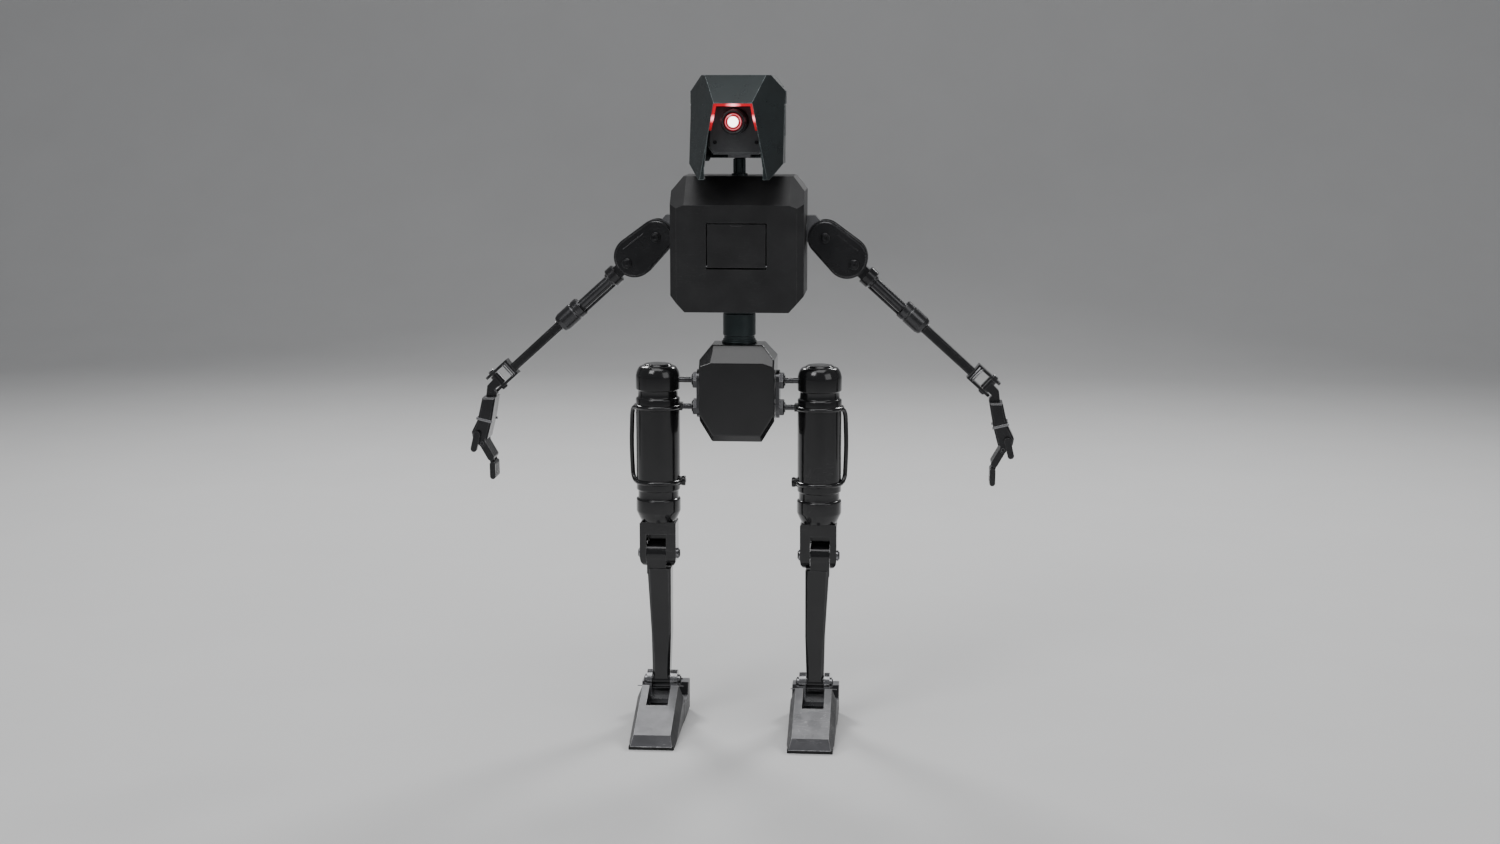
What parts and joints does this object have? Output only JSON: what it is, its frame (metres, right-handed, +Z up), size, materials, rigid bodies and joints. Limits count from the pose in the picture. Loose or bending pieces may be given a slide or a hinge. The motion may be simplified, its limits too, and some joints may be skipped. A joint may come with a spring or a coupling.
{
  "type": "humanoid robot",
  "caption": "Black humanoid robot kit with a hooded camera head, boxy chest, round thigh actuators, slim arms with gripping hands and wedge feet.",
  "frame": {"origin": "centre of the bounding box in plan, on the ground under the soles", "axes": "+Z up the standing robot, -Y the way the face looks, +X to the robot's left hand"},
  "size_m": [0.5072, 0.156, 0.6002],
  "materials": {
    "shell_black": "satin black moulded shell with worn edges",
    "hood_teal": "glossy dark teal paint, worn bright at the edges",
    "column_teal": "satin dark teal paint",
    "frame_metal": "bead blasted",
    "bright_steel": "polished steel",
    "battery_case": "matt case",
    "board_green": "circuit board lacquer",
    "camera_grey": "satin grey",
    "barrel_grey": "satin dark grey",
    "lens_glass": "white to pink lit lens",
    "light_red": "lit red light guide",
    "arm_black": "semi gloss black",
    "can_black": "gloss black",
    "foot_grey": "brushed grey top, black sides",
    "sole_rubber": "matt black"
  },
  "bodies": {
    "pelvis": {"pelvis_shell_front": "shell_black", "pelvis_shell_rear": "shell_black", "pelvis_frame": "frame_metal", "waist_column": "column_teal"},
    "torso": {"torso_front_shell": "shell_black", "torso_rear_shell": "shell_black", "hatch_pin": "bright_steel", "battery_pack": "battery_case", "controller_board": "board_green", "neck_post": "column_teal"},
    "hatch": {"chest_hatch": "shell_black"},
    "neck": {"neck_swivel": "frame_metal"},
    "head": {"head_frame": "frame_metal", "head_hood": "hood_teal", "camera_housing": "camera_grey", "lens_barrel": "barrel_grey", "eye_lens": "lens_glass", "light_guide": "light_red"},
    "left_shoulder": {"left_shoulder_bracket": "bright_steel"},
    "left_upper_arm": {"left_upper_arm": "arm_black", "left_shoulder_pin": "bright_steel", "left_elbow_pin": "bright_steel"},
    "left_forearm": {"left_elbow_knuckle": "arm_black", "left_forearm_tube": "arm_black", "left_forearm_blade": "arm_black"},
    "left_hand": {"left_palm": "arm_black"},
    "left_finger_roots": {"left_finger_bases": "arm_black"},
    "left_finger_ends": {"left_finger_tips": "arm_black"},
    "left_thumb": {"left_thumb": "arm_black"},
    "left_thigh": {"left_hip_bracket": "bright_steel", "left_thigh_can": "can_black", "left_thigh_cage": "can_black", "left_knee_fork": "can_black", "left_knee_pin": "bright_steel"},
    "left_shank": {"left_shank": "can_black"},
    "left_foot": {"left_ankle_bracket": "bright_steel", "left_ankle_pin": "bright_steel", "left_foot_shell": "foot_grey", "left_sole_pad": "sole_rubber"},
    "right_shoulder": {"right_shoulder_bracket": "bright_steel"},
    "right_upper_arm": {"right_upper_arm": "arm_black", "right_shoulder_pin": "bright_steel", "right_elbow_pin": "bright_steel"},
    "right_forearm": {"right_elbow_knuckle": "arm_black", "right_forearm_tube": "arm_black", "right_forearm_blade": "arm_black"},
    "right_hand": {"right_palm": "arm_black"},
    "right_finger_roots": {"right_finger_bases": "arm_black"},
    "right_finger_ends": {"right_finger_tips": "arm_black"},
    "right_thumb": {"right_thumb": "arm_black"},
    "right_thigh": {"right_hip_bracket": "bright_steel", "right_thigh_can": "can_black", "right_thigh_cage": "can_black", "right_knee_fork": "can_black", "right_knee_pin": "bright_steel"},
    "right_shank": {"right_shank": "can_black"},
    "right_foot": {"right_ankle_bracket": "bright_steel", "right_ankle_pin": "bright_steel", "right_foot_shell": "foot_grey", "right_sole_pad": "sole_rubber"}
  },
  "joints": [
    {"name": "waist_yaw", "type": "hinge", "parent": "pelvis", "child": "torso", "pos_m": [0, 0.03, 0.388], "axis": [0, 0, 1], "range_deg": [-45, 45]},
    {"name": "hatch_hinge", "type": "hinge", "parent": "torso", "child": "hatch", "pos_m": [0, -0.0034, 0.4301], "axis": [1, 0, 0], "range_deg": [0, 90]},
    {"name": "neck_yaw", "type": "hinge", "parent": "torso", "child": "neck", "pos_m": [0, 0.036, 0.53], "axis": [0, 0, 1], "range_deg": [-30, 30]},
    {"name": "head_pitch", "type": "hinge", "parent": "neck", "child": "head", "pos_m": [0, 0.036, 0.541], "axis": [1, 0, 0], "range_deg": [-12, 8]},
    {"name": "left_shoulder_pitch", "type": "hinge", "parent": "torso", "child": "left_shoulder", "pos_m": [0.0609, 0.05, 0.4619], "axis": [1, 0, 0], "range_deg": [-60, 60]},
    {"name": "left_shoulder_roll", "type": "hinge", "parent": "left_shoulder", "child": "left_upper_arm", "pos_m": [0.078, 0.05, 0.453], "axis": [0, 1, 0], "range_deg": [-50, 20]},
    {"name": "left_elbow", "type": "hinge", "parent": "left_upper_arm", "child": "left_forearm", "pos_m": [0.10474, 0.05, 0.42875], "axis": [0, 1, 0], "range_deg": [-40, 30]},
    {"name": "left_wrist", "type": "hinge", "parent": "left_forearm", "child": "left_hand", "pos_m": [0.22946, 0.05, 0.31783], "axis": [0.6717, 0, 0.7408], "range_deg": [-30, 30]},
    {"name": "left_knuckles", "type": "hinge", "parent": "left_hand", "child": "left_finger_roots", "pos_m": [0.2436, 0.05, 0.2584], "axis": [0, 1, 0], "range_deg": [-5, 45]},
    {"name": "left_finger_joints", "type": "hinge", "parent": "left_finger_roots", "child": "left_finger_ends", "pos_m": [0.2346, 0.05, 0.238], "axis": [0, 1, 0], "range_deg": [-6, 54]},
    {"name": "left_thumb_swing", "type": "hinge", "parent": "left_hand", "child": "left_thumb", "pos_m": [0.2475, 0.037, 0.2675], "axis": [0, 1, 0], "range_deg": [-10, 25]},
    {"name": "left_hip", "type": "hinge", "parent": "pelvis", "child": "left_thigh", "pos_m": [0.0348, 0.02, 0.3112], "axis": [1, 0, 0], "range_deg": [-60, 30]},
    {"name": "left_knee", "type": "hinge", "parent": "left_thigh", "child": "left_shank", "pos_m": [0.07445, 0.02, 0.16], "axis": [1, 0, 0], "range_deg": [0, 80]},
    {"name": "left_ankle", "type": "hinge", "parent": "left_shank", "child": "left_foot", "pos_m": [0.0715, 0.016, 0.039], "axis": [1, 0, 0], "range_deg": [-15, 15]},
    {"name": "right_shoulder_pitch", "type": "hinge", "parent": "torso", "child": "right_shoulder", "pos_m": [-0.0609, 0.05, 0.4619], "axis": [1, 0, 0], "range_deg": [-60, 60]},
    {"name": "right_shoulder_roll", "type": "hinge", "parent": "right_shoulder", "child": "right_upper_arm", "pos_m": [-0.078, 0.05, 0.453], "axis": [0, -1, 0], "range_deg": [-50, 20]},
    {"name": "right_elbow", "type": "hinge", "parent": "right_upper_arm", "child": "right_forearm", "pos_m": [-0.10474, 0.05, 0.42875], "axis": [0, -1, 0], "range_deg": [-40, 30]},
    {"name": "right_wrist", "type": "hinge", "parent": "right_forearm", "child": "right_hand", "pos_m": [-0.22946, 0.05, 0.31783], "axis": [0.6717, 0, -0.7408], "range_deg": [-30, 30]},
    {"name": "right_knuckles", "type": "hinge", "parent": "right_hand", "child": "right_finger_roots", "pos_m": [-0.2436, 0.05, 0.2584], "axis": [0, -1, 0], "range_deg": [-5, 45]},
    {"name": "right_finger_joints", "type": "hinge", "parent": "right_finger_roots", "child": "right_finger_ends", "pos_m": [-0.2346, 0.05, 0.238], "axis": [0, -1, 0], "range_deg": [-6, 54]},
    {"name": "right_thumb_swing", "type": "hinge", "parent": "right_hand", "child": "right_thumb", "pos_m": [-0.2475, 0.037, 0.2675], "axis": [0, -1, 0], "range_deg": [-10, 25]},
    {"name": "right_hip", "type": "hinge", "parent": "pelvis", "child": "right_thigh", "pos_m": [-0.0348, 0.02, 0.3112], "axis": [1, 0, 0], "range_deg": [-60, 30]},
    {"name": "right_knee", "type": "hinge", "parent": "right_thigh", "child": "right_shank", "pos_m": [-0.07445, 0.02, 0.16], "axis": [1, 0, 0], "range_deg": [0, 80]},
    {"name": "right_ankle", "type": "hinge", "parent": "right_shank", "child": "right_foot", "pos_m": [-0.0715, 0.016, 0.039], "axis": [1, 0, 0], "range_deg": [-15, 15]}
  ],
  "couplings": [
    {"joint": "left_finger_joints", "follows": "left_knuckles", "ratio": 1.2},
    {"joint": "right_finger_joints", "follows": "right_knuckles", "ratio": 1.2}
  ]
}
